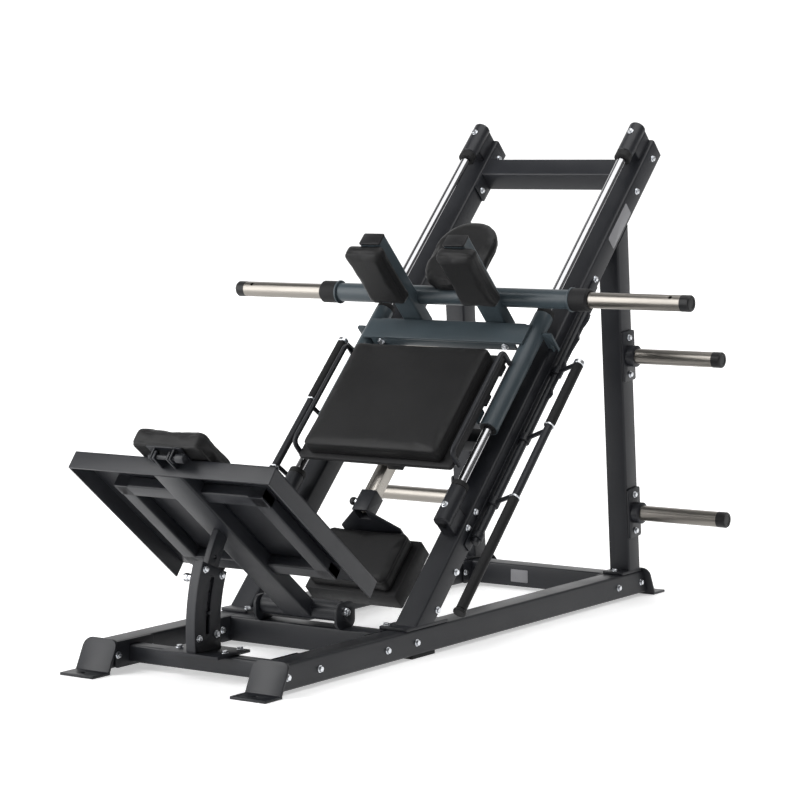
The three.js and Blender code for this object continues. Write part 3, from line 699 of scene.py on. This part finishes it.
def catch_plate():
    fresh()
    outline = [(9, 905)]
    for y in (965, 1078, 1191):
        outline += [(30, y - 50), (34, y - 38), (17, y - 12), (16, y), (18, y + 8)]
    outline += [(30, 1218), (34, 1236), (28, 1258), (9, 1275)]
    mesh = bpy.data.meshes.new("catch")
    mesh.from_pydata([(x * MM, y * MM, -4 * MM) for x, y in outline], [], [range(len(outline))])
    plate = bpy.data.objects.new("catch", mesh)
    bpy.context.scene.collection.objects.link(plate)
    plate.select_set(True)
    bpy.context.view_layer.objects.active = plate
    bpy.ops.object.mode_set(mode="EDIT")
    bpy.ops.mesh.select_all(action="SELECT")
    bpy.ops.mesh.extrude_region_move(TRANSFORM_OT_translate={"value": (0, 0, 8 * MM)})
    bpy.ops.mesh.select_all(action="SELECT")
    bpy.ops.mesh.normals_make_consistent(inside=False)
    bpy.ops.object.mode_set(mode="OBJECT")
    return soften(plate, 1)


for name, side in SIDES.items():
    angle = ANGLE[name]
    outward = Matrix.Rotation(radians(-angle if side > 0 else 180 + angle), 4, "Y")
    place = Matrix.Translation(Vector((side * SAFETY["x"], 0, SAFETY["z"])) * MM)
    axes = incline @ place @ outward
    body = f"safety_bar_{name}"
    arm, r = SAFETY["arm"], SAFETY["radius"]
    pieces = [bar("y", r, (350, 1352)), bar("y", r, (66, 1032), (arm, 0)), catch_plate()]
    pieces += [bar("x", 7, (r - 3, arm - r + 3), (y, 0), 0.2, 24) for y in (505, 755, 1025)]
    pieces += [bar("y", r + 5, (y - 14, y + 14), (0, 0), 2) for y in (505, 755, 1025)]
    settle(join(*pieces), f"safety_frame_{name}", axes, body, BLACK, "frame_black", body)
    for level, span in (("upper", (775, 1014)), ("lower", (74, 488))):
        foam = pipe("y", 16, 12.6, span, (arm, 0), 3)
        settle(foam, f"foam_grip_{level}_{name}", axes, body, RUBBER, "rubber", f"{level}_grip_{name}")
    for k, y in enumerate((1021, 771, 492)):
        ring = pipe("y", 17.5, 12.6, (y - 7, y + 7) if k == 0 else (y - 3, y + 3), (arm, 0), 1.5)
        settle(ring, f"bright_collar_{k}_{name}", axes, body, ZINC, "chrome")
    disc = bar("y", 20, (62, 72), (arm, 0), 2)
    settle(disc, f"grip_end_{name}", axes, body, RUBBER, "rubber")

    beside = incline @ place
    near = OUTER + 0.3 - SAFETY["x"]
    strip = soften(block(side_x(side, near, near + 5), (330, 1400), (-18, 18), 6, "x"), 1)
    eyes = [pipe("y", 18, 12.8, y, (0, 0), 1.5) for y in ((366, 386), (1324, 1344))]
    eyes += [block(side_x(side, near + 1, -10), y, (-10, 10)) for y in ((367, 385), (1325, 1343))]
    strip = join(strip, *eyes)
    node = f"safety_rail_{name}"
    settle(strip, f"bearing_strip_{name}", beside, "frame", BLACK, "frame_black", node)
print("with the safety bars", count["pieces"])

# %% [markdown]
# The seat's yoke slides on a bright square rail and is held by a spring pin with a round knob. The
# foot platform is a sheet steel tray over a welded underframe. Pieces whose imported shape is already
# right stay: Weld joins their loose triangles, Bevel rounds their edges, and they get their finish.
# The underframe and the pins are made anew, because bevels show well on tube and turned metal.

# %% Seat rail, platform and pins
KEPT = {
    "platform_plate": (BLACK, 2), "selector_post": (BLACK, 1.5),
    "selector_strut": (BLACK, 1.5), "seat_yoke": (BLACK, 1.5), "headrest_bracket": (BLACK, 1.2),
    "seat_base": (BOARD, 3), "seat_rail": (RAIL_METAL, 3), "seat_rail_support": (BLACK, 3),
}
for node, (finish, width) in KEPT.items():
    piece = bpy.data.objects[node]
    piece.data.materials.clear()
    piece.data.materials.append(finish)
    weld = piece.modifiers.new("weld", "WELD")
    weld.merge_threshold = 0.00002
    edge = piece.modifiers.new("soft edges", "BEVEL")
    edge.width, edge.segments = width * MM, 2
    edge.limit_method, edge.angle_limit = "ANGLE", radians(40)
    fresh()
    piece.select_set(True)
    bpy.context.view_layer.objects.active = piece
    bpy.ops.object.shade_smooth_by_angle(angle=radians(32))


DEEP = (-21, 13.7)
members = [block((-260, 260), y, DEEP, 5, "x") for y in ((-672, -620), (-288, -236))]
members += [block(side_x(side, 210, 260), (-672, -236), DEEP, 5, "y") for side in SIDES.values()]
members.append(block((-49, 49), (-768, -10), (-34, 13.7), 6, "y"))
members.append(pipe("x", 30, 12.8, (-138, 138), (0, 0), 2))
settle(join(*members), "underframe", platform, "platform", BLACK, "frame_black", "platform_frame")


def spring_pin(tip, head, radius, knob, centre):
    out = -1 if head < tip else 1
    stem = bar("x", radius, (tip, head - out * 20), centre, 1)
    outline = [(34, radius + 3), (32, radius + 4), (22, radius + 4), (20, radius + 1)]
    neck = turned("x", [(head - out * back, wide) for back, wide in outline], centre, sides=32)
    ball = [(head - out * 22, knob * 0.5), (head - out * 19, knob * 0.86), (head - out * 14, knob)]
    ball += [(head - out * 7, knob * 0.98), (head - out * 2.5, knob * 0.8), (head, knob * 0.4)]
    return join(stem, neck), turned("x", ball, centre, sides=40)


stem, knob = spring_pin(-20.3, -66, 6, 13, (398, 42))
settle(stem, "seat_pin_stem", incline, "seat_pin", ZINC, "chrome", "seat_pin")
settle(knob, "seat_pin_knob", incline, "seat_pin", PLASTIC, "rubber")
low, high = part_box("selector_pin")
along = Matrix.Translation((0, (low[1] + high[1]) / 2, (low[2] + high[2]) / 2))
stem, knob = spring_pin(-9.6, -84, 7, 12.5, (0, 0))
settle(stem, "selector_pin_stem", along, "selector_pin", ZINC, "chrome", "selector_pin")
settle(knob, "selector_pin_knob", along, "selector_pin", ZINC, "chrome")
print("with kept nodes", len(KEPT), "and", count["pieces"], "pieces")

# %% [markdown]
# Upholstered pads are foam under stretched vinyl, on a board. A slightly smaller shape is remeshed and
# blown up a few millimetres as cloth, so its faces swell and its edges stay full. The underside stays
# flat on the board. Two seams run round the side, where the top and side panels are sewn together.

# %% Upholstered pads
def inflated(piece, reach, bottom):
    voxels = piece.modifiers.new("even mesh", "REMESH")
    voxels.mode = "VOXEL"
    voxels.voxel_size = 6 * MM
    fresh()
    piece.select_set(True)
    bpy.context.view_layer.objects.active = piece
    bpy.ops.object.modifier_apply(modifier="even mesh")
    before = [vertex.co.copy() for vertex in piece.data.vertices]
    cloth = piece.modifiers.new("vinyl", "CLOTH")
    cloth.settings.use_pressure = True
    cloth.settings.uniform_pressure_force = 4
    cloth.settings.effector_weights.gravity = 0
    cloth.point_cache.frame_start, cloth.point_cache.frame_end = 1, 20
    for step in range(1, 21):
        bpy.context.scene.frame_set(step)
    bpy.ops.object.modifier_apply(modifier="vinyl")
    bpy.context.scene.frame_set(1)
    for vertex, start in zip(piece.data.vertices, before):
        move = vertex.co - start
        if move.length > reach * MM:
            vertex.co = start + move.normalized() * reach * MM
        if start.z < (bottom + 1.5) * MM:
            vertex.co = start
        vertex.co.z = max(vertex.co.z, bottom * MM)
    smooth = piece.modifiers.new("relax", "SMOOTH")
    smooth.iterations = 3
    bpy.ops.object.modifier_apply(modifier="relax")
    finer = piece.modifiers.new("finer", "SUBSURF")
    finer.levels = 1
    bpy.ops.object.modifier_apply(modifier="finer")
    return piece


def sewn(piece, level, depth=1.5, width=3.5):
    """A seam round the side: the two skins pull inwards where they are sewn together."""
    for vertex in piece.data.vertices:
        away = abs(vertex.co.z / MM - level)
        if away < width and abs(vertex.normal.z) < 0.5:
            vertex.co -= vertex.normal * depth * MM * (1 - away / width)
    return piece


def pad(name, body, node, axes, x, y, z, corner, bulge=6, fill=0.8, edge=8):
    inset = bulge * 0.55
    x, y = [(low + inset, high - inset) for low, high in (x, y)]
    shape = block(x, y, (z[0], z[1] - inset), corner, "z", 8)
    shape = soften(shape, edge)
    shape = inflated(shape, bulge, z[0])
    for level in (z[0] + 7, z[1] - 15):
        sewn(shape, level)
    piece = settle(shape, name, axes, body, VINYL, "vinyl", node, smooth=60)
    return piece


pad("back_cushion", "sled", "back_pad", incline, (-255, 255), (504, 939), (113, 168), 18, 6)
pad("seat_cushion", "seat", "seat_pad", incline, (-155, 155), (144, 348), (-68, -11), 20, 7)
pad("foot_end_headrest", "headrest", "headrest_pad", platform, (-128, 128), (-839, -668), (25, 83), 18, 7)
sideways = incline @ Matrix.Translation((0, 1103.7 * MM, 0)) @ Matrix.Rotation(pi / 2, 4, "X")
for name, side in SIDES.items():
    x = side_x(side, 98, 240)
    pad(f"shoulder_cushion_{name}", "sled", f"shoulder_pad_{name}", sideways, x, (192, 432), (0, 48), 16, 6)
pad("head_cushion", "sled", "head_pad", incline, (-115, 115), (1136, 1424), (171.2, 212.2), 100, 7)
print("pads done", count["pieces"])

# %% [markdown]
# Every bolt is one hexagon bolt with a washer. It is modelled once, pointing along +Z, and each copy
# has its own mesh; the copies on one body are joined.

# %% Bolts
def hex_bolt():
    fresh()
    start = (0, 0, 2 * MM)
    bpy.ops.mesh.primitive_circle_add(vertices=6, radius=10.5 * MM, fill_type="NGON", location=start)
    head = bpy.context.object
    bpy.ops.object.mode_set(mode="EDIT")
    bpy.ops.mesh.select_all(action="SELECT")
    bpy.ops.mesh.extrude_region_move(TRANSFORM_OT_translate={"value": (0, 0, 7 * MM)})
    bpy.ops.mesh.extrude_region_move(TRANSFORM_OT_translate={"value": (0, 0, 1 * MM)})
    bpy.ops.transform.resize(value=(0.88, 0.88, 1))
    bpy.ops.mesh.select_all(action="SELECT")
    bpy.ops.mesh.normals_make_consistent(inside=False)
    bpy.ops.object.mode_set(mode="OBJECT")
    head.data.transform(head.matrix_basis)
    head.matrix_basis = floor_axes
    washer = bar("z", 13, (-0.3, 2.4), (0, 0), 0.7, 32)
    return soften(join(head, washer), 0.4)


bolt = hex_bolt()


def set_bolts(name, body, places, size):
    copies = []
    for axes, point, direction in places:
        copy = bolt.copy()
        copy.data = bolt.data.copy()
        bpy.context.scene.collection.objects.link(copy)
        turn = Vector((0, 0, 1)).rotation_difference(Vector(direction)).to_matrix().to_4x4()
        copy.data.transform(axes @ Matrix.Translation(Vector(point) * MM) @ turn @ Matrix.Scale(size, 4))
        copies.append(copy)
    print(name, len(copies))
    return settle(join(*copies), name, floor_axes, body, ZINC, "chrome")


UP_BOLTS = ((1945.5, -37.5), (1795.5, -37.5), (1412, -44), (440, -17), (379, -17), (246, -60), (106, -60))
places = []
for side in SIDES.values():
    for y in (-982.5, -832.5, -502.5, -352.5, 836.5, 986.5):
        places.append((floor_axes, (side * OUTER, y, 47.5), (side, 0, 0)))
        places.append((floor_axes, (side * (REACH - 6), y, 47.5), (-side, 0, 0)))
    for s, c in UP_BOLTS:
        places.append((incline, (side * OUTER, s, c), (side, 0, 0)))
    for s in (1945.5, 1795.5):
        places.append((incline, (side * (REACH - 6), s, -37.5), (-side, 0, 0)))
    for y in (-385, -205):
        places.append((floor_axes, (side * 252, y, BASE_Z), (0, 0, 1)))
    places.append((floor_axes, (side * ROD["x"], POST_Y - 30, BASE_Z), (0, 0, 1)))
    for z in HORN_LEVELS.values():
        y = post_middle(z)
        for lift in (-60, 60):
            lean = -lift * tan(radians(POST_LEAN))
            places.append((floor_axes, (side * (OUTER + 8.3), y + lean, z + lift), (side, 0, 0)))
    for y in (-925, -855):
        places.append((floor_axes, (side * 80, y, 78.3), (0, 0, 1)))
    places.append((floor_axes, (side * 157, pivot.y / MM, pivot.z / MM), (side, 0, 0)))
    for s in (385, 1950):
        places.append((incline, (side * ROD["x"], s, ROD["z"] + 26), (0, 0, 0.8)))
for reach, turn in ((512, 20), (433, 20), (512, -1.7), (433, -1.7)):
    y = pivot.y / MM - reach * cos(radians(turn))
    places.append((floor_axes, (16, y, pivot.z / MM + reach * sin(radians(turn))), (1, 0, 0)))
set_bolts("frame_bolts", "frame", places, 0.82)
places = [(incline, (side * 232, 1011, 78), (0, -1, 0)) for side in SIDES.values()]
set_bolts("sled_bolts", "sled", places, 0.9)
fresh()
bpy.data.objects.remove(bolt)

# %% [markdown]
# Two thin plates stand where a maker would put a badge and a rating plate. They are left plain.

# %% Plain plates
info = soften(block((-98, -32), (REAR_Y - HALF - 1.2, REAR_Y - HALF + 1), (26, 68), 3, "y"), 0.4)
settle(info, "info_plate", floor_axes, "frame", LABEL, "nickel")
mark = soften(block((OUTER - 1, OUTER + 1), (1560, 1720), (-62, -14), 5, "x"), 0.4)
settle(mark, "side_plate", incline, "frame", LABEL, "nickel")
print("all pieces", count["pieces"])

# %% [markdown]
# The machine stands on a pale floor that turns white further out, before a far white backdrop. The
# floor's own glow keeps it from looking grey without lighting the machine from above. A soft light
# from the front left draws the faces that look forward, and a smaller one above makes the shadow.

# %% Camera, lights and floor
CAMERA_DIP, CAMERA_SWING = 5.13, 34.0
eye = bpy.data.cameras.new("eye")
eye.lens = 118.845
eye.sensor_width = 36
eye.clip_end = 100
camera = bpy.data.objects.new("eye", eye)
camera.location = (4.517, -6.6365, 1.430)
camera.rotation_euler = (radians(90 - CAMERA_DIP), 0, radians(CAMERA_SWING))
bpy.context.scene.collection.objects.link(camera)
bpy.context.scene.camera = camera

floor_paint = Recipe("pale floor", (0.9, 0.9, 0.9), 0.6, Emission_Strength=1.0)
tone = floor_paint.noise(0.7, 3.0)
floor_paint.set("Base Color", floor_paint.mix(tone * 0.5, (0.92, 0.92, 0.92), (0.9, 0.9, 0.9)))
length = {"operation": "LENGTH"}
distance = floor_paint.node("ShaderNodeVectorMath", length, {0: floor_paint.place}, output=1)
far = floor_paint.ramp(distance, 2.0, 7.0)
floor_paint.set("Emission Color", floor_paint.mix(far, (0.45, 0.45, 0.45), (1.0, 1.0, 1.0)))
fresh()
bpy.ops.mesh.primitive_plane_add(size=60, location=(0, 0, 0))
ground = bpy.context.object
ground.name = "floor"
ground.data.materials.append(floor_paint.material)

glow = Recipe("lit backdrop", (0.2, 0.2, 0.2), 0.8, Emission_Strength=1.0)
cloudy = glow.noise(0.3)
glow.set("Emission Color", glow.mix(cloudy * 0.2, (1.0, 1.0, 1.0), (0.98, 0.98, 0.98)))
upright = (pi / 2, 0, radians(CAMERA_SWING))
bpy.ops.mesh.primitive_plane_add(size=50, location=(-12.3, 18.2, 0), rotation=upright)
backdrop = bpy.context.object
backdrop.name = "backdrop"
backdrop.data.materials.append(glow.material)


def lamp(name, power, size, place, aim):
    data = bpy.data.lights.new(name, "AREA")
    data.shape = "RECTANGLE"
    data.size, data.size_y = size
    data.energy = power
    light = bpy.data.objects.new(name, data)
    light.location = place
    light.rotation_euler = (Vector(aim) - Vector(place)).to_track_quat("-Z", "Y").to_euler()
    bpy.context.scene.collection.objects.link(light)


lamp("top", 130, (4, 4), (1.2, 0.8, 4.5), (0.4, 0.2, 0))
lamp("front left", 360, (4, 6), (-3.2, -4.2, 2.9), (0, -0.6, 0.5))
world = bpy.data.worlds.new("studio")
world.use_nodes = True
world.node_tree.nodes["Background"].inputs["Color"].default_value = (1, 1, 1, 1)
world.node_tree.nodes["Background"].inputs["Strength"].default_value = 0.2
bpy.context.scene.world = world
bpy.context.scene.view_settings.view_transform = "Standard"
